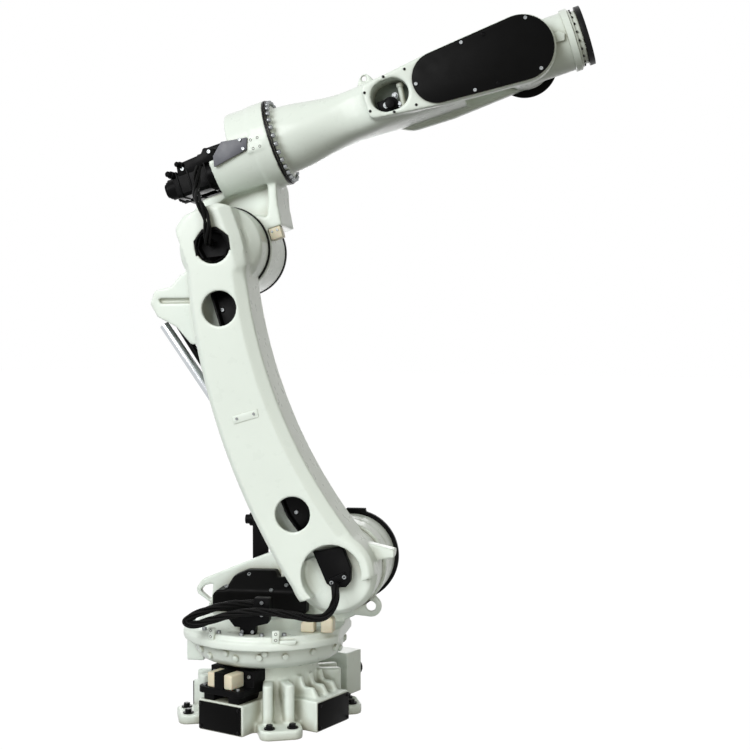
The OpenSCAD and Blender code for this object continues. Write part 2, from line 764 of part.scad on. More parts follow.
// A thin slice of the loft, square to the forearm
slice_t = 0.1;
module slice(x) {
    e = 2 / squareness(x);
    translate([x, 0, 0]) rotate([90, 0, 90]) linear_extrude(slice_t)
        polygon([for (k = [0 : loft_sides - 1])
            let (a = 360 * k / loft_sides)
            [half_y(x) * signed_power(cos(a), e), half_z(x) * signed_power(sin(a), e)]]);
}
module loft(stations) {
    for (i = [0 : len(stations) - 2]) hull() {
        slice(stations[i]);
        slice(stations[i + 1]);
    }
}
loft_end = forearm_link - fork_depth;
loft_steps = 16;
cover_small_x = forearm_link - cover_length;
rim = 6;
far_small_r = 96;
far_big_r = 80;
far_cover_r = 110;
belly_start = 600;
belly_low = 713;
// The tapered oval of the wrist, drawn from its two round ends and their common tangents
module oval(small, big) {
    tilt = asin((big - small) / cover_length);
    translate([cover_small_x, 0]) circle(r = small);
    translate([forearm_link, 0]) circle(r = big);
    polygon([
        [cover_small_x - small * sin(tilt), small * cos(tilt)],
        [cover_small_x - small * sin(tilt), -small * cos(tilt)],
        [forearm_link - big * sin(tilt), -big * cos(tilt)],
        [forearm_link - big * sin(tilt), big * cos(tilt)]]);
}
// The raised pad round the forearm's window, with rounded corners towards the elbow
pad_start = 606;
pad_top = 62;
pad_bottom = -60;
pad_corner = 22;
module pad_outline() {
    for (z = [pad_top - pad_corner, pad_bottom + pad_corner])
        translate([pad_start + pad_corner, z]) circle(r = pad_corner);
    polygon([
        [pad_start, pad_bottom + pad_corner], [pad_start, pad_top - pad_corner],
        [pad_start + pad_corner, pad_top], [cover_small_x, cover_small_r + rim],
        [cover_small_x, -cover_small_r - rim], [pad_start + pad_corner, pad_bottom]]);
}
window_along = 692;
window_half = 12;
window_round = 52;
module forearm_casting() {
    color(white) on_fore() difference() {
        union() {
            loft([for (i = [0 : loft_steps]) lerp(tube_start, loft_end + 6, i / loft_steps)]);
            slab(-forearm_half, -fork_half) {
                oval(cover_small_r + rim, cover_big_r + rim);
                pad_outline();
            }
            slab(fork_half, forearm_half) {
                oval(far_small_r, far_big_r);
                polygon([
                    [belly_start, waist_z / 2], [belly_start, -waist_z / 2], [belly_low, 4 - far_small_r],
                    [cover_small_x, -far_small_r], [cover_small_x, waist_z]]);
            }
        }
        for (s = [-1, 1])
            drum(-forearm_half - cut, -40, window_round, window_along + s * window_half, 0);
        block([window_along - window_half, -forearm_half - cut, -window_round],
              [window_along + window_half, -40, window_round]);
        block([loft_end, -fork_half, -cover_big_r * 2],
              [forearm_link + 2 * cover_big_r, fork_half, cover_big_r * 2]);
    }
}
module forearm_ring() {
    color(white) on_fore() {
        bar(ring_along + run_gap, ring_along + 9, forearm_ring_r - 6);
        bar(ring_along + 9, tube_start, tube_r + 14);
    }
}
eye_along = 612;
eye_hole_r = 10;
eye_half = 12;
eye_rise = 28;
module forearm_lifting_eye() {
    color(white) on_fore() difference() {
        slab(-eye_half, eye_half) polygon([
            [eye_along - 34, waist_z], [eye_along - 12, waist_z + 36], [eye_along + 12, waist_z + 46],
            [eye_along + 24, waist_z + 30], [eye_along + 40, waist_z]]);
        drum(-eye_half - cut, eye_half + cut, eye_hole_r, eye_along + 2, waist_z + eye_rise);
    }
}
module wrist_cover_near() {
    color(black) on_fore() slab(-forearm_half - cover_t, -forearm_half) oval(cover_small_r, cover_big_r);
}
module wrist_cover_far() {
    color(black) on_wrist() drum(forearm_half, forearm_half + cover_t, far_cover_r);
}
module window_fitting() {
    color(black) on_fore() {
        drum(-90, -40, 26, window_along - 10, -22);
        drum(-110, -90, 16, window_along - 10, -22);
    }
}

// Wrist
pivot_r = 78;
wrist_half = fork_half - side_gap;
wrist_r = 97;
module wrist_housing() {
    color(white) on_wrist() {
        drum(-wrist_half, wrist_half, wrist_r - 4);
        drum(-fork_half + run_gap, fork_half - run_gap, pivot_r);
        intersection() {
            bar(0, tool_reach - flange_t - 18, wrist_r);
            block([0, -wrist_half, -wrist_r], [tool_reach, wrist_half, wrist_r]);
        }
        bar(0, tool_reach - flange_t - run_gap, wrist_r - 8);
    }
}
module tool_flange() {
    color(black) on_wrist() difference() {
        bar(tool_reach - flange_t, tool_reach, flange_r);
        bar(tool_reach - pilot_depth, tool_reach + cut, pilot_d / 2);
        for (k = [0 : tool_bolt_count - 1]) rotate([360 * k / tool_bolt_count, 0, 0])
            bar(tool_reach - flange_t - cut, tool_reach + cut, tool_hole_d / 2, 0, tool_pcd / 2);
    }
}

base_casting();
base_cover_front();
base_cover_right();
base_cover_left();
connector_box();
stop_bracket();
stop_bumpers();
turret_casting();
shoulder_column();
stop_dog();
lifting_web();
front_lifting_lug();
turning_motor_cover();
harness_bracket();
shoulder_motor();
junction_bracket();
junction_plug();
shoulder_bumpers();
harness_lower();
lower_arm_casting();
cable_trough();
upper_cable_guide();
lower_cable_guide();
balancer_rod();
balancer_tube();
upper_arm_housing();
elbow_motor();
wrist_motor_near();
wrist_motor_far();
wrist_motor_top();
motor_bracket();
elbow_bumper();
harness_upper();
forearm_ring();
forearm_casting();
forearm_lifting_eye();
wrist_cover_near();
wrist_cover_far();
window_fitting();
wrist_housing();
tool_flange();
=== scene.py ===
"""Six-axis industrial robot arm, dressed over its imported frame."""
import json
import math

import bpy
from mathutils import Matrix, Vector


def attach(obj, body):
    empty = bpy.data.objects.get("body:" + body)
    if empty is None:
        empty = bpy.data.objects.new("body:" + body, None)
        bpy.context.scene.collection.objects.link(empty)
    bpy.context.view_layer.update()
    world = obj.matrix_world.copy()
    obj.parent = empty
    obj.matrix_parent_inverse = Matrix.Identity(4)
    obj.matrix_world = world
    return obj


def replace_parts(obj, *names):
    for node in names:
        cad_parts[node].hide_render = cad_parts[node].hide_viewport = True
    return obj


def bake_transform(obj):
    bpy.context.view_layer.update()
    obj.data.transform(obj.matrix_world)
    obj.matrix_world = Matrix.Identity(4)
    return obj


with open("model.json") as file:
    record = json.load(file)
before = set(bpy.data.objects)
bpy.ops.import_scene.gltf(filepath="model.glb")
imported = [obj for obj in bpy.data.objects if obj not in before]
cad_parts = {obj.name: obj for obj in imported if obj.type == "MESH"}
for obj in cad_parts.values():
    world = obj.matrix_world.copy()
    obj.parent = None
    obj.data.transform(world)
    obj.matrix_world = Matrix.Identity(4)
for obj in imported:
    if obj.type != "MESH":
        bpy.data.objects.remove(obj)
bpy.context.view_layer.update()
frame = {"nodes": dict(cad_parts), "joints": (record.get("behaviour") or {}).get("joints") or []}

bl_info = {
    "name": "Industrial robot arm",
    "version": (1, 0, 0),
    "blender": (4, 5, 0),
    "location": "View3D > Sidebar > Robot arm",
    "description": "Castings, covers, fasteners and cables of a floor mounted robot arm",
    "category": "Object",
}

MM = 0.001
# Triangles of one casting at most
SHELL_TRIANGLES = 90000


# Frames of the arm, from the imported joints
def joint(name):
    return next(j for j in frame["joints"] if j["name"] == name)


def axes(origin, x, y):
    """A frame with its origin, its X and its Y, and Z square to both."""
    x, y = Vector(x).normalized(), Vector(y).normalized()
    z = x.cross(y)
    turn = Matrix((x, y, z)).transposed().to_4x4()
    return Matrix.Translation(Vector(origin)) @ turn


ACROSS = Vector(joint("shoulder")["axis"])
SHOULDER = Vector(joint("shoulder")["pos_m"])
ELBOW = Vector(joint("elbow")["pos_m"])
ALONG = Vector(joint("forearm_roll")["axis"])
UP = Vector((0, 0, 1))
ON_BASE = Matrix.Identity(4)
ON_TURRET = axes((0, 0, 0), ACROSS.cross(UP), ACROSS)
ON_LOWER = axes(SHOULDER, ACROSS.cross(ELBOW - SHOULDER), ACROSS)
ON_UPPER = axes(ELBOW, ALONG, ACROSS)
ON_FORE = axes(joint("forearm_roll")["pos_m"], ALONG, ACROSS)
ON_WRIST = axes(joint("wrist_bend")["pos_m"], ALONG, ACROSS)


def linear(code):
    """An sRGB hex colour as linear RGBA."""
    parts = [int(code[i:i + 2], 16) / 255 for i in (1, 3, 5)]
    return [c / 12.92 if c <= 0.04045 else ((c + 0.055) / 1.055) ** 2.4 for c in parts] + [1.0]


class ROBOT_PG_sizes(bpy.types.PropertyGroup):
    """Sizes that a user would change."""
    cast_grain: bpy.props.FloatProperty(
        name="Casting mesh", description="Mesh spacing of the castings, which sets their soft edges",
        default=4 * MM, min=2 * MM, unit="LENGTH")
    sheet_edge: bpy.props.FloatProperty(
        name="Sheet edge", description="Rounding of the edges of covers and brackets",
        default=2 * MM, min=0, unit="LENGTH")
    cable: bpy.props.FloatProperty(
        name="Cable", description="Diameter of one cable of the harness",
        default=10 * MM, min=4 * MM, unit="LENGTH")


def colour(name, code):
    return bpy.props.FloatVectorProperty(
        name=name, description=name + " of the robot", subtype="COLOR", size=4,
        min=0, max=1, default=linear(code))


class ROBOT_PG_colours(bpy.types.PropertyGroup):
    """Colours that a user would change."""
    enamel: colour("Enamel", "#E4EDE6")
    black_paint: colour("Black paint", "#0D0D0E")
    black_cover: colour("Black cover", "#090909")
    motor: colour("Motor paint", "#0D0D0E")
    cushion: colour("Cushion", "#E2DAC2")
    cable: colour("Cable", "#0C0C0C")
    grey_sheet: colour("Grey sheet", "#4A4C55")
    floor: colour("Floor", "#5E5E5B")


# Edges that turn by more than this are rounded and stay sharp in the shading
SHARP = math.radians(35)
# Faces that turn by less than this are one flat face
FLAT = math.radians(1.5)
# Points nearer than this are one point
WELD = 0.01 * MM
# Reach and number of smoothing passes of a cast fillet
FILLET_REACH = 62 * MM
FILLET_PASSES = 90


# Selecting and finishing
def activate(piece):
    bpy.ops.object.select_all(action="DESELECT")
    piece.select_set(True)
    bpy.context.view_layer.objects.active = piece


def in_edit(piece):
    """Opens the piece for editing with all its faces selected."""
    activate(piece)
    for face in piece.data.polygons:
        face.select = True
    bpy.ops.object.mode_set(mode="EDIT")
    bpy.ops.mesh.select_mode(type="FACE")


def out_of_edit():
    bpy.ops.object.mode_set(mode="OBJECT")


def modify(piece, kind, **settings):
    """Adds a modifier with its settings and applies it."""
    activate(piece)
    step = piece.modifiers.new(kind.title(), kind)
    for key, value in settings.items():
        setattr(step, key, value)
    bpy.ops.object.modifier_apply(modifier=step.name)


def settle(piece, place):
    """Moves the piece's mesh to its place and leaves the object at the origin."""
    piece.data.transform(place)
    piece.matrix_world = Matrix.Identity(4)


def dress(piece, name, body, finish):
    piece.name = piece.data.name = name
    piece.data.materials.clear()
    piece.data.materials.append(finish)
    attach(piece, body)
    return piece


def copy_of(*nodes):
    """A merged copy of one or more CAD nodes."""
    copies = []
    for node in nodes:
        piece = bpy.data.objects.new(node + "_copy", frame["nodes"][node].data.copy())
        bpy.context.scene.collection.objects.link(piece)
        copies.append(piece)
    activate(copies[0])
    for piece in copies[1:]:
        piece.select_set(True)
    if len(copies) > 1:
        bpy.ops.object.join()
    in_edit(copies[0])
    bpy.ops.mesh.remove_doubles(threshold=WELD)
    out_of_edit()
    return copies[0]


def cast_shell(name, nodes, body, material="gloss_enamel", passes=12, grain=None,
               cutters=(), blends=()):
    """The casting that stands for these nodes, with soft edges and fillets at the blends."""
    sizes = bpy.context.scene.robot_sizes
    piece = copy_of(*nodes)
    for cutter in cutters:
        modify(piece, "BOOLEAN", operation="DIFFERENCE", solver="EXACT", object=cutter)
        bpy.data.objects.remove(cutter)
    modify(piece, "REMESH", mode="VOXEL", voxel_size=grain or sizes.cast_grain)
    if not piece.data.polygons:
        raise RuntimeError(name + " has no faces left")
    for spot in blends:
        soften(piece, spot)
    modify(piece, "SMOOTH", factor=0.5, iterations=passes)
    count = sum(len(face.vertices) - 2 for face in piece.data.polygons)
    if count > SHELL_TRIANGLES:
        modify(piece, "DECIMATE", ratio=SHELL_TRIANGLES / count)
    activate(piece)
    bpy.ops.object.shade_smooth()
    dress(piece, name, body, finish(material))
    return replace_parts(piece, *nodes)


def soften(piece, spot):
    """Melts the mesh round a spot, most at its middle, as a cast fillet does."""
    group = piece.vertex_groups.new(name="fillet")
    for vertex in piece.data.vertices:
        near = 1 - (vertex.co - spot).length / FILLET_REACH
        if near > 0:
            group.add([vertex.index], min(1.0, 2 * near), "REPLACE")
    modify(piece, "SMOOTH", factor=0.5, iterations=FILLET_PASSES, vertex_group=group.name)
    piece.vertex_groups.clear()


def eased_copy(name, nodes, body, material, edge=None, segments=3):
    """A copy of these nodes with rounded edges, which stands for them."""
    sizes = bpy.context.scene.robot_sizes
    piece = copy_of(*nodes)
    in_edit(piece)
    bpy.ops.mesh.dissolve_limited(angle_limit=FLAT)
    out_of_edit()
    modify(piece, "BEVEL", width=edge or sizes.sheet_edge, segments=segments, limit_method="ANGLE",
           angle_limit=SHARP, use_clamp_overlap=True)
    activate(piece)
    bpy.ops.object.shade_smooth_by_angle(angle=SHARP)
    dress(piece, name, body, finish(material))
    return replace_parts(piece, *nodes)


# Making small pieces by hand
def fresh():
    """The primitive that was just added, with its place in its mesh."""
    piece = bpy.context.active_object
    piece.data.transform(piece.matrix_world)
    piece.matrix_world = Matrix.Identity(4)
    return piece


def seat(place, point, out, spin=0.0):
    """A seat at a point in mm of a body's frame, with its Z along a direction of that frame."""
    turn = (place.to_3x3() @ Vector(out)).to_track_quat("Z", "Y").to_matrix().to_4x4()
    return Matrix.Translation(place @ (Vector(point) * MM)) @ turn @ Matrix.Rotation(spin, 4, "Z")


def around(radius, angle, height=0.0):
    """A point in mm on a circle about Z."""
    return Vector((radius * math.cos(angle), radius * math.sin(angle), height))


def ring_seats(place, centre, out, radius, count, start=0.0):
    """Seats on a circle round a centre, all facing the same way."""
    middle = seat(place, centre, out)
    turns = [start + math.tau * k / count for k in range(count)]
    return [middle @ Matrix.Translation(around(radius, a) * MM) for a in turns]


def turned(profile, sides=32, edge=0.0):
    """A round piece from pairs of radius and height in mm, closed at both ends."""
    bpy.ops.object.select_all(action="DESELECT")
    bpy.ops.mesh.primitive_circle_add(vertices=sides, radius=profile[0][0] * MM, fill_type="NGON",
                                      location=(0, 0, profile[0][1] * MM))
    piece = fresh()
    in_edit(piece)
    for (r0, z0), (r1, z1) in zip(profile, profile[1:]):
        bpy.ops.mesh.extrude_region_move(TRANSFORM_OT_translate={"value": (0, 0, (z1 - z0) * MM)})
        ratio = r1 / r0
        bpy.ops.transform.resize(value=(ratio, ratio, 1), center_override=(0, 0, z1 * MM))
    bpy.ops.mesh.select_all(action="SELECT")
    bpy.ops.mesh.normals_make_consistent(inside=False)
    out_of_edit()
    if edge:
        modify(piece, "BEVEL", width=edge * MM, segments=2, limit_method="ANGLE",
               angle_limit=math.radians(40))
    return piece


def cap_screw(radius, height, sides=20):
    """A screw with a round head and a sunk drive."""
    return turned([(radius, 0), (radius, 0.8 * height), (0.82 * radius, height), (0.5 * radius, height),
                   (0.46 * radius, 0.5 * height)], sides)


def hex_bolt(radius, height):
    """A hexagon bolt on its washer."""
    wide = 1.5 * radius
    washer = turned([(wide, 0), (wide, 0.25 * height), (0.96 * wide, 0.3 * height)], 28)
    head = turned([(radius, 0.3 * height), (radius, 0.9 * height), (0.86 * radius, height)], 6)
    return joined([washer, head])


def plate(outline, near, far, edge=1.0, segments=2):
    """A flat piece cut to an outline of X and Z in mm, between two depths in Y."""
    bpy.ops.object.select_all(action="DESELECT")
    bpy.ops.mesh.primitive_circle_add(vertices=len(outline), radius=1, fill_type="NGON")
    piece = fresh()
    for vertex, (x, z) in zip(piece.data.vertices, outline):
        vertex.co = (x * MM, near * MM, z * MM)
    in_edit(piece)
    bpy.ops.mesh.extrude_region_move(TRANSFORM_OT_translate={"value": (0, (far - near) * MM, 0)})
    bpy.ops.mesh.select_all(action="SELECT")
    bpy.ops.mesh.normals_make_consistent(inside=False)
    out_of_edit()
    if edge:
        modify(piece, "BEVEL", width=edge * MM, segments=segments, limit_method="ANGLE",
               angle_limit=math.radians(30))
    return piece


def box_outline(x0, x1, z0, z1):
    return [(x0, z0), (x1, z0), (x1, z1), (x0, z1)]


def joined(pieces):
    activate(pieces[0])
    for piece in pieces[1:]:
        piece.select_set(True)
    if len(pieces) > 1:
        bpy.ops.object.join()
    return pieces[0]


def place_piece(name, piece, place, body, material):
    """Moves a piece made at the origin to its body's frame and dresses it."""
    settle(piece, place)
    activate(piece)
    bpy.ops.object.shade_smooth_by_angle(angle=SHARP)
    return dress(piece, name, body, finish(material))


def spread(name, pattern, seats, body, material, slot=None):
    """Copies of one pattern on all the seats, as one piece."""
    copies = []
    for where in seats:
        piece = pattern.copy()
        piece.data = pattern.data.copy()
        piece.data.transform(where)
        bpy.context.scene.collection.objects.link(piece)
        copies.append(piece)
    bpy.data.objects.remove(pattern)
    return place_piece(name, joined(copies), Matrix.Identity(4), body, material)


# Materials
def add_node(tree, kind, settings=None, inputs=None):
    """Adds one node with its settings, and links or sets its inputs."""
    node = tree.nodes.new(kind)
    for key, value in (settings or {}).items():
        setattr(node, key, value)
    for key, value in (inputs or {}).items():
        if isinstance(value, bpy.types.NodeSocket):
            tree.links.new(value, node.inputs[key])
        else:
            node.inputs[key].default_value = value
    return node


FINISHES = {}
# Sizes in mm of the slow colour drift and of the patches of uneven gloss, and the height of the relief
DRIFT = 160
HAZE = 35
RELIEF = 0.4
# How near two walls stand where painted shade darkens the recess between them
RECESS_SHADE_REACH = 48 * MM


def finish(name):
    return FINISHES[name]


def painted(name, base, worn, roughness, peel, peel_depth, constants, recess_shade=None):
    """A surface with colour drift, uneven gloss, relief of a size in mm and painted shade in its
    recesses.
    """
    material = bpy.data.materials.new(name)
    material.use_nodes = True
    tree = material.node_tree
    shader = tree.nodes["Principled BSDF"]
    place = add_node(tree, "ShaderNodeTexCoord").outputs["Object"]
    drift = add_node(tree, "ShaderNodeTexNoise", None,
                     {"Vector": place, "Scale": 1 / (DRIFT * MM), "Detail": 3.0})
    tint = add_node(tree, "ShaderNodeMix", {"data_type": "RGBA"},
                    {"Factor": drift.outputs["Fac"], 6: base, 7: worn})
    coat = tint.outputs[2]
    # Painted shade: the colour darkens towards the shade colour where walls stand near, in creases and
    # recesses
    if recess_shade:
        recess = add_node(tree, "ShaderNodeAmbientOcclusion", {"samples": 8},
                          {"Distance": RECESS_SHADE_REACH})
        cover = add_node(tree, "ShaderNodeMapRange", None, {
            "Value": recess.outputs["AO"], "From Min": 0.15, "From Max": 0.9,
            "To Min": 1.0, "To Max": 0.0})
        shaded_coat = add_node(tree, "ShaderNodeMix", {"data_type": "RGBA"},
                          {"Factor": cover.outputs["Result"], 6: coat, 7: recess_shade})
        coat = shaded_coat.outputs[2]
    tree.links.new(coat, shader.inputs["Base Color"])
    haze = add_node(tree, "ShaderNodeTexNoise", None,
                    {"Vector": place, "Scale": 1 / (HAZE * MM), "Detail": 4.0})
    gloss = add_node(tree, "ShaderNodeMapRange", None, {
        "Value": haze.outputs["Fac"], "From Min": 0.3, "From Max": 0.7,
        "To Min": roughness[0], "To Max": roughness[1]})
    tree.links.new(gloss.outputs["Result"], shader.inputs["Roughness"])
    relief = add_node(tree, "ShaderNodeTexNoise", None,
                      {"Vector": place, "Scale": 1 / (peel * MM), "Detail": 2.0})
    bump = add_node(tree, "ShaderNodeBump", None,
                    {"Height": relief.outputs["Fac"], "Strength": peel_depth, "Distance": RELIEF * MM})
    tree.links.new(bump.outputs["Normal"], shader.inputs["Normal"])
    for key, value in constants.items():
        shader.inputs[key].default_value = value
    FINISHES[name] = material


def shade(tint, factor):
    return [c * factor for c in tint[:3]] + [1.0]


# Low reflection at the surface, so that black pieces stay deep under the pale studio light
DEEP_BLACK = {"Specular IOR Level": 0.05}


class ROBOT_OT_finishes(bpy.types.Operator):
    """Makes the materials of the robot"""
    bl_idname = "robot.finishes"
    bl_label = "Finishes"

    def execute(self, context):
        colours = context.scene.robot_colours
        # Two-pack enamel sprayed on cast iron: pale, glossy, with a faint orange peel, and grey painted
        # shade in its recesses
        painted("gloss_enamel", colours.enamel, shade(colours.enamel, 0.94), (0.26, 0.34), 7, 0.03,
                {"Coat Weight": 0.1, "Coat Roughness": 0.12, "Specular IOR Level": 0.26},
                linear("#9A9986"))
        # Satin black paint on bent sheet steel: dark with a broad soft gleam
        painted("satin_black_paint", colours.black_paint, shade(colours.black_paint, 0.7), (0.34, 0.44),
                4, 0.08, DEEP_BLACK)
        # Fine textured powder coat on covers: dull black with a pebbled relief
        painted("powder_coat", colours.black_cover, shade(colours.black_cover, 0.7), (0.34, 0.46),
                3, 0.15, DEEP_BLACK)
        # Semi gloss paint on the motors' aluminium housings
        painted("motor_paint", colours.motor, shade(colours.motor, 0.7), (0.28, 0.4),
                6, 0.06, DEEP_BLACK)
        # Cast polyurethane: waxy cream with light passing a little under the skin
        painted("cast_polyurethane", colours.cushion, shade(colours.cushion, 0.86), (0.42, 0.6), 7, 0.1,
                {"Subsurface Weight": 0.15, "Subsurface Scale": 8 * MM})
        # Extruded cable sheath: black, smooth, with scuffs that dull it
        painted("cable_sheath", colours.cable, shade(colours.cable, 2.2), (0.3, 0.45),
                5, 0.08, DEEP_BLACK)
        # Dark grey paint on zinc coated sheet
        painted("grey_sheet_paint", colours.grey_sheet, shade(colours.grey_sheet, 0.8), (0.35, 0.5),
                4, 0.1, {})
        # Inside the castings: flat grey green without the top coat's gloss, the enamel darkened as
        # painted shade of the hollow
        painted("window_shade_paint", linear("#7E877E"), linear("#6C746C"), (0.55, 0.7), 6, 0.1, {})
        # Hard chrome on a ground rod: bright, with faint grinding haze
        painted("ground_chrome", linear("#D5D8DA"), linear("#BFC4C8"), (0.14, 0.26),
                2, 0.03, {"Metallic": 1.0})
        # Black oxide on machined steel: near black metal, oily gleam
        painted("black_oxide", linear("#161617"), linear("#101011"), (0.3, 0.45),
                2, 0.05, {"Metallic": 0.5, "Specular IOR Level": 0.2})
        # Zinc plated screws: pale grey metal, slightly dulled
        painted("zinc_plate", linear("#979A9B"), linear("#7F8384"), (0.28, 0.42),
                2, 0.05, {"Metallic": 1.0})
        return {"FINISHED"}


NEAR = (0, -1, 0)
FORWARD = (1, 0, 0)
TOP = (0, 0, 1)
# Length of the lower arm and half its width at the elbow in mm, as in the part's source
LOWER_LINK = 1145
FRONT_TOP = 98
# Depths in mm of the near faces of the lower arm, the oval cover and the lower cable clamp
ARM_FACE = -270
COVER_FACE = -150
CLAMP_FACE = -246


class ROBOT_OT_castings(bpy.types.Operator):
    """Makes the painted castings with soft edges"""
    bl_idname = "robot.castings"
    bl_label = "Castings"

    def execute(self, context):
        cast_shell("base_shell", ["base_casting"], "base")
        cast_shell("turret_shell", ["turret_casting", "shoulder_column", "stop_dog"], "turret")
        cast_shell("lifting_web_plate", ["lifting_web"], "turret", passes=22, grain=3 * MM,
                   cutters=[self.web_tip()])
        eased_copy("front_lug", ["front_lifting_lug"], "turret", "gloss_enamel",
                   7 * MM, 4)
        fillets = [(92, -186, LOWER_LINK - 80), (84, -236, LOWER_LINK - 104)]
        cast_shell("lower_arm_shell", ["lower_arm_casting"], "lower_arm", passes=7,
                   cutters=self.crown_bevel(), blends=[ON_LOWER @ (Vector(p) * MM) for p in fillets])
        cast_shell("upper_arm_shell", ["upper_arm_housing"], "upper_arm")
        cast_shell("forearm_shell", ["forearm_casting", "forearm_ring", "forearm_lifting_eye"],
                   "forearm", passes=20)
        cast_shell("wrist_shell", ["wrist_housing"], "wrist", passes=4, grain=3 * MM)
        cast_shell("connector_housing", ["connector_box"], "base")
        return {"FINISHED"}

    def web_tip(self):
        """The corner that is cut from the rear end of the lifting web."""
        corner = plate([(-269, 388), (-280, 447), (-320, 447), (-320, 388)], 30, 80, 0)
        settle(corner, ON_TURRET)
        return corner

    def crown_bevel(self):
        """The wedges that carry the bevel of the arm's front edge up round its top."""
        return [self.wedge(LOWER_LINK - 114, LOWER_LINK + 2, -15),
                self.wedge(LOWER_LINK, LOWER_LINK + 160, 0)]

    def wedge(self, low, high, lean):
        """A wedge in front of the arm's edge between two heights, moved by the lean at its foot."""
        front, depth, wide = FRONT_TOP, 24, 38
        outside, inside = ARM_FACE - 2, -201
        piece = plate([(front - wide - 2, outside), (front + 60, outside), (front + 60, inside),
                       (front, inside), (front, ARM_FACE + depth)], low, high, 0)
        for vertex in piece.data.vertices:
            if vertex.co.y < (low + 1) * MM:
                vertex.co.x += lean * MM
        swap = Matrix(((1, 0, 0, 0), (0, 0, 1, 0), (0, 1, 0, 0), (0, 0, 0, 1)))
        settle(piece, ON_LOWER @ swap)
        in_edit(piece)
        bpy.ops.mesh.normals_make_consistent(inside=False)
        out_of_edit()
        return piece


class ROBOT_OT_covers(bpy.types.Operator):
    """Makes the black covers, brackets and cushions"""
    bl_idname = "robot.covers"
    bl_label = "Covers and brackets"

    def execute(self, context):
        eased_copy("side_covers", ["base_cover_front", "base_cover_right", "base_cover_left"], "base",
                   "powder_coat")
        eased_copy("stop_bracket_body", ["stop_bracket"], "base", "satin_black_paint")
        eased_copy("stop_cushions", ["stop_bumpers"], "base", "cast_polyurethane",
                   6 * MM)
        cast_shell("turning_cover", ["turning_motor_cover"], "turret", "powder_coat", 16)
        eased_copy("harness_clamp", ["harness_bracket"], "turret", "satin_black_paint")
        eased_copy("junction", ["junction_bracket", "junction_plug"], "turret", "satin_black_paint")
        eased_copy("shoulder_cushions", ["shoulder_bumpers"], "turret", "cast_polyurethane",
                   6 * MM)
        eased_copy("shoulder_drive", ["shoulder_motor"], "turret", "motor_paint", 4 * MM)
        eased_copy("trough", ["cable_trough"], "lower_arm", "satin_black_paint")
        eased_copy("cable_guides", ["upper_cable_guide", "lower_cable_guide"], "lower_arm",
                   "satin_black_paint", 4 * MM)
        eased_copy("balancer_bright_rod", ["balancer_rod"], "lower_arm", "ground_chrome")
        eased_copy("balancer_black_tube", ["balancer_tube"], "lower_arm", "satin_black_paint")
        eased_copy("elbow_drive", ["elbow_motor"], "upper_arm", "motor_paint", 4 * MM)
        eased_copy("wrist_drives", ["wrist_motor_near", "wrist_motor_far", "wrist_motor_top"],
                   "upper_arm", "motor_paint", 4 * MM)
        eased_copy("motor_sheet", ["motor_bracket"], "upper_arm", "grey_sheet_paint",
                   1 * MM)
        eased_copy("elbow_cushion", ["elbow_bumper"], "upper_arm", "cast_polyurethane",
                   4 * MM)
        eased_copy("oval_cover", ["wrist_cover_near"], "forearm", "powder_coat", 2 * MM)
        eased_copy("round_cover", ["wrist_cover_far"], "forearm", "powder_coat", 2 * MM)
        eased_copy("window_socket", ["window_fitting"], "forearm", "motor_paint")
        eased_copy("flange_plate", ["tool_flange"], "flange", "black_oxide", 1 * MM)
        return {"FINISHED"}


class ROBOT_OT_base_fasteners(bpy.types.Operator):
    """Bolts the base to the floor and fits the screws and sockets of its covers"""
    bl_idname = "robot.base_fasteners"
    bl_label = "Base fasteners"

    def execute(self, context):
        far, near, foot = 228, 174, 32
        seats = [seat(ON_BASE, (sx * a, sy * b, foot), TOP, 0.4 * sx)
                 for a, b in ((far, near), (near, far)) for sx in (-1, 1) for sy in (-1, 1)]
        spread("floor_bolts", hex_bolt(12, 15), seats, "base", "black_oxide", "black_steel")
        face, half, low, high = 275, 79, 15, 89
        corners = [(s * half, z) for s in (-1, 1) for z in (low, high)]
        seats = [seat(ON_BASE, (a, -face, z), NEAR) for a, z in corners]
        seats += [seat(ON_BASE, (face, a, z), FORWARD) for a, z in corners]
        seats += [seat(ON_BASE, (-face, a, z), (-1, 0, 0)) for a, z in corners]
        spread("side_cover_screws", cap_screw(4.5, 3), seats, "base", "black_oxide")
        seats = [seat(ON_BASE, (s * 70, -262, 150), TOP) for s in (-1, 1)]
        seats += [seat(ON_BASE, (s * 74, -205, 185), NEAR) for s in (-1, 1)]
        spread("stop_bracket_screws", cap_screw(7, 7), seats, "base", "zinc_plate")
        back, middle = 360, 100
        seats = [seat(ON_BASE, (x, back, middle), (0, 1, 0)) for x in (-58, 22, 102)]
        socket = turned([(32, 0), (32, 6), (26, 6), (26, 22), (29, 22), (29, 30), (22, 30), (20, 20)],
                        32, 0.8)
        spread("connector_sockets", socket, seats, "base", "motor_paint", "black_motor")
        seats = [seat(ON_BASE, (x, back, z), (0, 1, 0)) for x in (-90, 22, 134) for z in (36, 164)]
        spread("connector_screws", cap_screw(4.5, 4), seats, "base", "zinc_plate")
        return {"FINISHED"}


# Angles about the turning axis in degrees and heights in mm of the plugs seen on the bearing bowl
BOWL_PLUGS = [(-138, 262), (-127, 250), (-110, 269), (-102, 256),
              (-84, 261), (-80, 274), (-65, 262), (-43, 268)]
# Heights and radii in mm of the bowl's outline, as in the part's source
BOWL = [(214, 217), (224, 239), (239, 252), (259, 259), (287, 261)]


def bowl_at(height):
    """Radius of the bowl at a height, and how far its face leans down there."""
    for (z0, r0), (z1, r1) in zip(BOWL, BOWL[1:]):
        if height <= z1:
            return r0 + (r1 - r0) * (height - z0) / (z1 - z0), math.atan2(r1 - r0, z1 - z0)


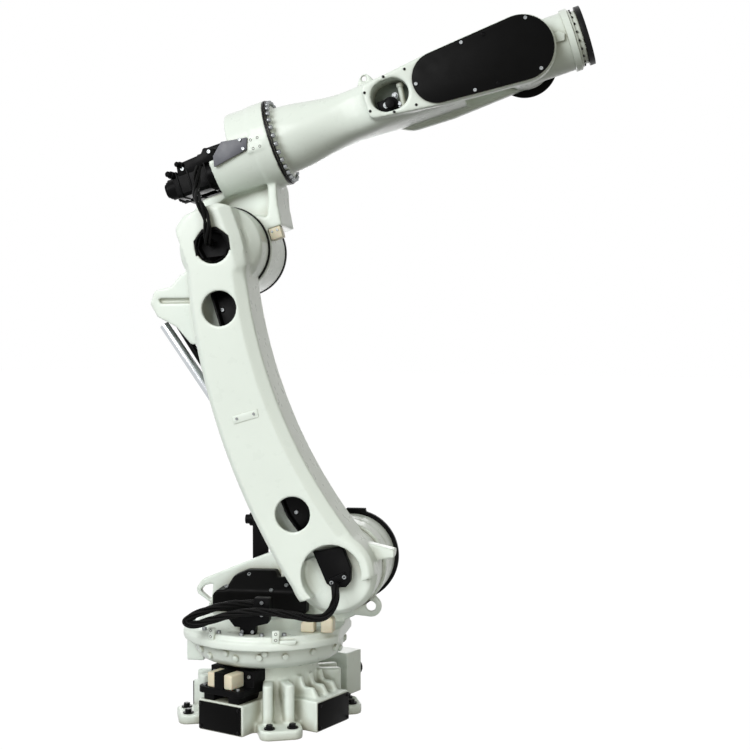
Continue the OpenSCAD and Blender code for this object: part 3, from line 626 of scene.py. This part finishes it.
class ROBOT_OT_turret_fasteners(bpy.types.Operator):
    """Fits the plugs, tabs and screws of the turret"""
    bl_idname = "robot.turret_fasteners"
    bl_label = "Turret fasteners"

    def execute(self, context):
        seats = []
        for turn in (0, 120, 240):
            for degrees, height in BOWL_PLUGS:
                angle = math.radians(degrees + turn)
                radius, lean = bowl_at(height)
                out = around(math.cos(lean), angle, -math.sin(lean))
                seats.append(seat(ON_TURRET, around(radius, angle, height), out))
        plug = turned([(11, -2), (11, 5), (10, 7.5), (7, 9), (3, 9.4)], 24)
        spread("bowl_plugs", plug, seats, "turret", "gloss_enamel", "white_paint")
        self.rim_tabs()
        deck, circle = 333, 264
        seats = [seat(ON_TURRET, around(circle, math.radians(a), deck), TOP)
                 for a in (-150, -132, -116, -97, -82, -66, 120, 145, 170, 195)]
        spread("deck_screws", cap_screw(8, 9), seats, "turret", "zinc_plate")
        slope = math.radians(42)
        out = (0, -math.sin(slope), math.cos(slope))
        seats = [seat(ON_TURRET, p, out) for p in (
            (-69, -12, 489), (-140, -50, 452), (70, -42, 460), (20, -56, 444))]
        spread("motor_cover_screws", cap_screw(7, 6), seats, "turret", "zinc_plate")
        seats = [seat(ON_TURRET, (x, CLAMP_FACE, z), NEAR) for x, z in (
            (33, 440), (33, 400), (-33, 343), (2, 343))]
        spread("harness_clamp_screws", cap_screw(6, 6), seats, "turret", "zinc_plate")
        return {"FINISHED"}

    def rim_tabs(self):
        tabs, holes = [], []
        radius, low, high = 288, 313, 356
        for degrees in (-118, -72.5, 60, 150):
            place = ON_TURRET @ Matrix.Rotation(math.radians(degrees + 90), 4, "Z")
            tab = plate(box_outline(-12, 12, low, high), -radius - 5, -radius + 8, 3)
            settle(tab, place)
            tabs.append(tab)
            holes += [seat(place, (0, -radius - 4.5, z), NEAR) for z in (325, 345)]
        ledge = plate([(12, 309), (62, 309), (68, 318), (68, 324), (12, 324)],
                      -radius - 8, -radius + 6, 2)
        settle(ledge, ON_TURRET @ Matrix.Rotation(math.radians(17.5), 4, "Z"))
        place_piece("rim_tabs", joined(tabs + [ledge]), Matrix.Identity(4), "turret", "gloss_enamel")
        # Dark plugs in the tabs' holes: painted shade of the holes
        hole = turned([(5, -3), (5, 0.6), (3.6, 0.8), (3.2, -1)], 20)
        spread("rim_tab_hole_shades", hole, holes, "turret", "black_oxide")


class ROBOT_OT_lower_arm_fittings(bpy.types.Operator):
    """Fits the blank plate, clamps and screws of the lower arm"""
    bl_idname = "robot.lower_arm_fittings"
    bl_label = "Lower arm fittings"

    def execute(self, context):
        raised = ARM_FACE - 2.5
        blank = plate([(-134, 572), (-47, 566), (-43, 592), (-130, 598)], raised, ARM_FACE + 1, 1)
        place_piece("blank_plate", blank, ON_LOWER, "lower_arm", "gloss_enamel")
        seats = [seat(ON_LOWER, (x, raised, z), NEAR) for x, z in ((-118, 585), (-59, 581))]
        spread("blank_plate_screws", cap_screw(4.5, 3), seats, "lower_arm", "zinc_plate")
        seats = [seat(ON_LOWER, p, NEAR) for p in (
            (-58, -193, 944), (-55, -193, 229), (-12, -241, -24), (34, -241, -20), (19, -201, 1269))]
        spread("guide_screws", cap_screw(7, 7), seats, "lower_arm", "zinc_plate")
        clamp = plate([(-18, -34), (44, -26), (40, -6), (-20, -12)], CLAMP_FACE, CLAMP_FACE + 8, 2)
        place_piece("lower_cable_clamp", clamp, ON_LOWER, "lower_arm", "satin_black_paint")
        outer, inner = 64, 53
        rim = [(outer, math.radians(12 + 45 * k)) for k in range(-1, 5)]
        rim += [(inner, math.radians(192 - 15 * k)) for k in range(16)]
        rim = [(r * math.cos(a), LOWER_LINK + r * math.sin(a)) for r, a in rim]
        frame_plate = plate(rim, ARM_FACE - 2, ARM_FACE + 8, 0.8)
        place_piece("guide_frame", frame_plate, ON_LOWER, "lower_arm", "satin_black_paint")
        seal = turned([(147, 0), (147, 5), (146, 6)], 96)
        place_piece("elbow_seal", seal, seat(ON_LOWER, (0, -63.2, LOWER_LINK), NEAR), "lower_arm",
                    "black_oxide")
        hub_face, hub_circle = -208, 122
        seats = ring_seats(ON_LOWER, (0, hub_face, 0), NEAR, hub_circle, 3, 0.9)
        spread("hub_screws", cap_screw(8, 6), seats[:2], "lower_arm", "zinc_plate")
        return {"FINISHED"}


class ROBOT_OT_upper_arm_fittings(bpy.types.Operator):
    """Fits the ring bolts, motor connectors and screws of the upper arm"""
    bl_idname = "robot.upper_arm_fittings"
    bl_label = "Upper arm fittings"

    def execute(self, context):
        # A dark disc behind the ring bolts: painted shade between the bolt heads
        ring_shade = turned([(147, 0), (147, 3), (146, 3.5)], 96)
        place_piece("forearm_ring_shade", ring_shade, seat(ON_FORE, (271, 0, 0), FORWARD), "forearm",
                    "black_oxide")
        seats = ring_seats(ON_FORE, (274, 0, 0), FORWARD, 137.5, 30)
        spread("forearm_ring_bolts", cap_screw(8, 12), seats, "forearm", "zinc_plate")
        seal = turned([(146, 0), (149.5, 0), (149.5, 6), (146, 6)], 96)
        place_piece("forearm_seal", seal, seat(ON_FORE, (262, 0, 0), FORWARD), "upper_arm",
                    "black_oxide")
        seats = [seat(ON_UPPER, p, NEAR) for p in ((170, -156, 324), (172, -156, 292))]
        spread("sheet_screws", cap_screw(6, 5), seats, "upper_arm", "zinc_plate")
        pad_face = -150
        seats = [seat(ON_UPPER, (x, pad_face, z), NEAR) for z in (313, 283) for x in (204, 228)]
        # Dark plugs in the pad's holes: painted shade of the holes
        hole = turned([(4.5, -3), (4.5, 0.6), (3.4, 0.8), (3, -1)], 20)
        spread("pad_hole_shades", hole, seats, "upper_arm", "black_oxide")
        self.motor_fittings()
        seats = [seat(ON_UPPER, (x, -60, 12), NEAR) for x in (163, 182)]
        spread("elbow_cushion_screws", cap_screw(4, 3), seats, "upper_arm", "zinc_plate")
        return {"FINISHED"}

    def motor_fittings(self):
        # Height in mm of the wrist motors' middle over the elbow, and places of the two lower motors
        rise, aside, under, tail = 305, 62, 46, -131
        parts = [plate([(-84, 286), (-10, 286), (14, 300), (66, 300), (66, 340), (30, 352), (14, 334),
                        (-78, 328)], -106, -44, 4)]
        for x, z, r in ((-100, 296, 13), (-60, 318, 12)):
            socket = turned([(r, 0), (r, 16), (r - 3, 16), (r - 3, 30), (r - 6, 34)], 24, 1)
            settle(socket, seat(Matrix.Identity(4), (x, -100, z), (-0.35, -0.9, 0.2)))
            parts.append(socket)
        for y in (-aside, aside):
            end = turned([(30, 0), (30, 8), (24, 8), (24, 15), (12, 18)], 32, 1)
            settle(end, seat(Matrix.Identity(4), (tail, y, rise - under), (-1, 0, 0)))
            parts.append(end)
            for x in (-92, -52, 12):
                flange = turned([(65, 0), (65, 7)], 4, 2)
                settle(flange, seat(Matrix.Identity(4), (x, y, rise - under), FORWARD, math.pi / 4))
                parts.append(flange)
        place_piece("motor_connectors", joined(parts), ON_UPPER, "upper_arm", "motor_paint")
        seats = [seat(ON_UPPER, (46, -106, 332), NEAR), seat(ON_UPPER, (-60, -106, 306), NEAR)]
        spread("motor_block_screws", cap_screw(7, 7), seats, "upper_arm", "zinc_plate")


class ROBOT_OT_forearm_fittings(bpy.types.Operator):
    """Fits the screws, window parts and flange screws of the forearm and wrist"""
    bl_idname = "robot.forearm_fittings"
    bl_label = "Forearm fittings"

    def execute(self, context):
        seats = [seat(ON_FORE, (x, COVER_FACE, z), NEAR) for x, z in (
            (786, 1), (966, 80), (1186, 86), (1186, -86), (963, -82))]
        spread("oval_cover_screws", cap_screw(6, 4), seats, "forearm", "zinc_plate")
        seats = [seat(ON_FORE, (x, COVER_FACE, z), NEAR) for x, z in ((1042, 82), (1043, -86))]
        plug = turned([(8, 0), (8, 1.5), (6.5, 2.5), (5, 2.5), (4, 1)], 24)
        spread("oval_cover_plugs", plug, seats, "forearm", "motor_paint", "black_motor")
        seats = [seat(ON_FORE, (x, -140, z), NEAR) for x, z in (
            (615, 32), (615, -32), (764, 62), (766, -62), (690, 62), (690, -60))]
        spread("window_rim_screws", cap_screw(4.5, 2.5), seats, "forearm", "black_oxide")
        self.window_parts()
        seats = ring_seats(ON_WRIST, (0, 150, 0), (0, 1, 0), 96, 8)
        spread("round_cover_screws", cap_screw(5, 4), seats, "forearm", "zinc_plate")
        seats = ring_seats(ON_WRIST, (183, 0, 0), FORWARD, 92, 20)
        spread("wrist_ring_screws", cap_screw(4, 5), seats, "wrist", "black_oxide")
        band = turned([(101, 0), (104, 2), (104, 22), (101, 24)], 72)
        place_piece("wrist_band", band, seat(ON_WRIST, (152, 0, 0), FORWARD), "wrist", "gloss_enamel")
        knob = plate([(96, -12), (140, -16), (146, 6), (130, 20), (98, 16)], -108, -84, 3)
        place_piece("wrist_boss", knob, ON_WRIST, "wrist", "gloss_enamel")
        seats = ring_seats(ON_WRIST, (219, 0, 0), FORWARD, 66, 10)
        spread("flange_screws", cap_screw(5, 2), seats, "flange", "zinc_plate")
        return {"FINISHED"}

    def window_parts(self):
        middle, half_long, half_high, sides = 690, 74, 56, 24
        turns = [math.tau * k / sides for k in range(sides)]
        # The window's inner wall, coloured darker than the enamel as painted shade
        lining = plate([(middle + half_long * math.cos(a), half_high * math.sin(a)) for a in turns],
                       -52, -46, 1)
        place_piece("window_lining", lining, ON_FORE, "forearm", "window_shade_paint")
        body = plate([(640, -44), (690, -44), (690, -14), (676, -2), (640, -2)], -96, -50, 3)
        place_piece("window_block", body, ON_FORE, "forearm", "satin_black_paint")
        pipe = turned([(9, 0), (9, 70), (12, 70), (12, 82), (7, 84)], 24, 1)
        place_piece("window_pipe", pipe, seat(ON_FORE, (722, -84, -46), (0.1, 0, 1)), "forearm",
                    "gloss_enamel")
        nuts = [seat(ON_FORE, p, NEAR) for p in ((668, -96, -22), (704, -84, 2), (712, -80, -30))]
        spread("window_nuts", hex_bolt(7, 12), nuts, "forearm", "zinc_plate")


# Cable routes, as in the part's source, in mm in the frame of the body that holds the first end
HARNESS_Y = -295
CLAMP_Y = -226


def out_to(t):
    return CLAMP_Y + t * (HARNESS_Y - CLAMP_Y)


LOWER_ROUTE = [
    (1.5, CLAMP_Y, 432), (-60, out_to(0.17), 431), (-105, out_to(0.37), 425), (-150, out_to(0.56), 413),
    (-186, out_to(0.7), 399), (-206, out_to(0.82), 387), (-213, out_to(0.9), 377),
    (-198, out_to(0.95), 370), (-170, out_to(0.97), 373),
    (-130, HARNESS_Y, 386), (-80, HARNESS_Y, 402), (-30, HARNESS_Y, 414),
    (20, HARNESS_Y, 420), (70, HARNESS_Y, 420), (120, HARNESS_Y, 416), (170, HARNESS_Y, 410),
    (215, HARNESS_Y, 405), (252, HARNESS_Y, 412), (276, HARNESS_Y, 434), (288, HARNESS_Y, 466),
    (290, HARNESS_Y, 494), (284, HARNESS_Y + 14, 514)]
UPPER_ROUTE = [
    (-6, -234, 1161), (-6, -282, 1161), (10, -296, 1195), (20, -296, 1235), (16, -296, 1279),
    (4, -252, 1321), (0, -202, 1355), (10, -184, 1395), (26, -176, 1425)]


# Points between two of a route, the bundle's radius in cable radii, and the length of one twist
ROUTE_STEPS = 8
BUNDLE = 1.7
TWIST = 300 * MM


def smooth_path(points, steps):
    """Points of a curve through the given ones."""
    path = []
    for i in range(len(points) - 1):
        p0, p1 = points[max(i - 1, 0)], points[i]
        p2, p3 = points[i + 1], points[min(i + 2, len(points) - 1)]
        for k in range(steps):
            t = k / steps
            path.append(0.5 * (2 * p1 + (p2 - p0) * t + (2 * p0 - 5 * p1 + 4 * p2 - p3) * t ** 2
                               + (3 * p1 - p0 - 3 * p2 + p3) * t ** 3))
    return path + [points[-1]]


def strand_path(points, lane, lanes, spread, pitch):
    """One cable of a twisted bundle: its points, at a distance from the bundle's middle line."""
    side = Vector((0, 0, 1))
    travelled, path = 0.0, []
    for i, point in enumerate(points):
        ahead = (points[min(i + 1, len(points) - 1)] - points[max(i - 1, 0)]).normalized()
        side = (side - ahead * side.dot(ahead)).normalized()
        if i:
            travelled += (point - points[i - 1]).length
        angle = math.tau * (lane / lanes + travelled / pitch)
        path.append(point + spread * (math.cos(angle) * side + math.sin(angle) * ahead.cross(side)))
    return path


def cable(name, path, radius, material):
    """A round cable along a path."""
    curve = bpy.data.curves.new(name, "CURVE")
    curve.dimensions = "3D"
    curve.bevel_depth = radius
    curve.bevel_resolution = 3
    curve.use_fill_caps = True
    line = curve.splines.new("POLY")
    line.points.add(len(path) - 1)
    for point, co in zip(line.points, path):
        point.co = (*co, 1)
    piece = bpy.data.objects.new(name, curve)
    bpy.context.scene.collection.objects.link(piece)
    activate(piece)
    bpy.ops.object.convert(target="MESH")
    piece = bpy.context.active_object
    bpy.ops.object.shade_smooth()
    piece.data.materials.clear()
    piece.data.materials.append(finish(material))
    return piece


class ROBOT_OT_cables(bpy.types.Operator):
    """Makes the two cable bundles that cross the shoulder and the elbow"""
    bl_idname = "robot.cables"
    bl_label = "Cables"

    def execute(self, context):
        radius = context.scene.robot_sizes.cable / 2
        bundles = [
            ("lower_cable", LOWER_ROUTE, ON_TURRET, 5, "turret", "lower_arm", 13, 20, "harness_lower"),
            ("upper_cable", UPPER_ROUTE, ON_LOWER, 4, "lower_arm", "upper_arm", 1, 7, "harness_upper"),
        ]
        for name, route, place, lanes, first, second, start, end, node in bundles:
            points = [place @ (Vector(p) * MM) for p in route]
            middle = smooth_path(points, ROUTE_STEPS)
            for lane in range(lanes):
                path = strand_path(middle, lane, lanes, BUNDLE * radius, TWIST)
                piece = cable(f"{name}_{lane + 1}", path, radius, "cable_sheath")
                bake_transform(piece)
                if lane == 0:
                    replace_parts(piece, node)
        return {"FINISHED"}


# Photograph's viewpoint
LENS = 62.98
VIEW_FROM = (2.7864, -3.6158, 1.306)
VIEW_YAW = math.radians(33)
VIEW_PITCH = math.radians(-1.528)


def lamp(name, place, aim, size, power, tint=(1, 1, 1), spread=math.pi):
    light = bpy.data.lights.new(name, "AREA")
    light.shape = "DISK"
    light.size = size
    light.energy = power
    light.color = tint
    light.spread = spread
    lamp_object = bpy.data.objects.new(name, light)
    lamp_object.location = place
    lamp_object.rotation_euler = (Vector(aim) - Vector(place)).to_track_quat("-Z", "Y").to_euler()
    bpy.context.scene.collection.objects.link(lamp_object)


# Glow of the floor, its share in what the eye sees, and strength of the soft world light
FLOOR_GLOW = 1.14
FLOOR_SHARE = 0.88
WORLD_LIGHT = 0.36


class ROBOT_OT_stage(bpy.types.Operator):
    """Sets the floor, the light and the camera"""
    bl_idname = "robot.stage"
    bl_label = "Stage"

    def execute(self, context):
        scene = context.scene
        scene.view_settings.view_transform = "Standard"
        self.floor(scene)
        self.world(scene)
        lamp("key", (0.0, -4.3, 3.3), (0.1, 0, 1.2), 3.0, 184)
        lamp("low", (1.4, -1.9, 0.28), (0, 0, 0.22), 0.9, 2.0, spread=math.radians(70))
        lamp("fill", (4.4, -2.2, 1.2), (0.1, 0, 0.9), 2.4, 16, (1, 0.95, 0.7))
        lamp("rim", (-2.4, 3.4, 1.5), (0.1, 0, 1.1), 2.4, 28)
        self.camera(scene)
        return {"FINISHED"}

    def floor(self, scene):
        bpy.ops.object.select_all(action="DESELECT")
        bpy.ops.mesh.primitive_plane_add(size=80, location=(0, 0, 0))
        floor = bpy.context.active_object
        floor.name = "floor"
        # Matt studio floor that stays white to the eye and keeps a soft shadow
        material = bpy.data.materials.new("studio_floor")
        material.use_nodes = True
        tree = material.node_tree
        shader = tree.nodes["Principled BSDF"]
        shader.inputs["Base Color"].default_value = scene.robot_colours.floor
        shader.inputs["Roughness"].default_value = 0.9
        white = add_node(tree, "ShaderNodeEmission", None,
                         {"Color": (1, 1, 1, 1), "Strength": FLOOR_GLOW})
        rays = add_node(tree, "ShaderNodeLightPath")
        clear = add_node(tree, "ShaderNodeMath", {"operation": "MAXIMUM"},
                         {0: rays.outputs["Is Camera Ray"], 1: rays.outputs["Is Glossy Ray"]})
        seen = add_node(tree, "ShaderNodeMath", {"operation": "MULTIPLY"},
                        {0: clear.outputs[0], 1: FLOOR_SHARE})
        mix = add_node(tree, "ShaderNodeMixShader", None,
                       {0: seen.outputs[0], 1: shader.outputs[0], 2: white.outputs[0]})
        tree.links.new(mix.outputs[0], tree.nodes["Material Output"].inputs["Surface"])
        floor.data.materials.append(material)

    def world(self, scene):
        world = bpy.data.worlds.new("studio")
        scene.world = world
        world.use_nodes = True
        tree = world.node_tree
        soft = tree.nodes["Background"]
        soft.inputs["Color"].default_value = (1, 0.98, 0.88, 1)
        soft.inputs["Strength"].default_value = WORLD_LIGHT
        white = add_node(tree, "ShaderNodeBackground", None, {"Color": (1, 1, 1, 1), "Strength": 1.0})
        rays = add_node(tree, "ShaderNodeLightPath")
        seen = add_node(tree, "ShaderNodeMath", {"operation": "MAXIMUM"},
                        {0: rays.outputs["Is Camera Ray"], 1: rays.outputs["Is Transmission Ray"]})
        clear = add_node(tree, "ShaderNodeMath", {"operation": "MAXIMUM"},
                         {0: seen.outputs[0], 1: rays.outputs["Is Glossy Ray"]})
        mix = add_node(tree, "ShaderNodeMixShader", None,
                       {0: clear.outputs[0], 1: soft.outputs[0], 2: white.outputs[0]})
        tree.links.new(mix.outputs[0], tree.nodes["World Output"].inputs["Surface"])

    def camera(self, scene):
        camera = bpy.data.cameras.new("camera")
        camera.lens = LENS
        camera.sensor_width = 36
        camera.clip_end = 200
        view = bpy.data.objects.new("camera", camera)
        aim = Vector((-math.sin(VIEW_YAW), math.cos(VIEW_YAW), math.tan(VIEW_PITCH)))
        view.location = VIEW_FROM
        view.rotation_euler = aim.to_track_quat("-Z", "Y").to_euler()
        scene.collection.objects.link(view)
        scene.camera = view


class ROBOT_PT_panel(bpy.types.Panel):
    """Lists the steps that dress the robot"""
    bl_idname = "ROBOT_PT_panel"
    bl_label = "Robot arm"
    bl_space_type = "VIEW_3D"
    bl_region_type = "UI"
    bl_category = "Robot arm"

    def draw(self, context):
        for name in ROBOT_PG_sizes.__annotations__:
            self.layout.prop(context.scene.robot_sizes, name)
        for name in ROBOT_PG_colours.__annotations__:
            self.layout.prop(context.scene.robot_colours, name)
        for step in STEPS:
            self.layout.operator(step.bl_idname)


STEPS = [
    ROBOT_OT_finishes, ROBOT_OT_castings, ROBOT_OT_covers, ROBOT_OT_base_fasteners,
    ROBOT_OT_turret_fasteners, ROBOT_OT_lower_arm_fittings, ROBOT_OT_upper_arm_fittings,
    ROBOT_OT_forearm_fittings, ROBOT_OT_cables, ROBOT_OT_stage]
CLASSES = [ROBOT_PG_sizes, ROBOT_PG_colours, *STEPS, ROBOT_PT_panel]


def register():
    for cls in CLASSES:
        bpy.utils.register_class(cls)
    bpy.types.Scene.robot_sizes = bpy.props.PointerProperty(type=ROBOT_PG_sizes)
    bpy.types.Scene.robot_colours = bpy.props.PointerProperty(type=ROBOT_PG_colours)


def unregister():
    del bpy.types.Scene.robot_colours
    del bpy.types.Scene.robot_sizes
    for cls in reversed(CLASSES):
        bpy.utils.unregister_class(cls)


def main():
    register()
    for step in STEPS:
        group, name = step.bl_idname.split(".")
        getattr(getattr(bpy.ops, group), name)()


if __name__ == "__main__":
    main()
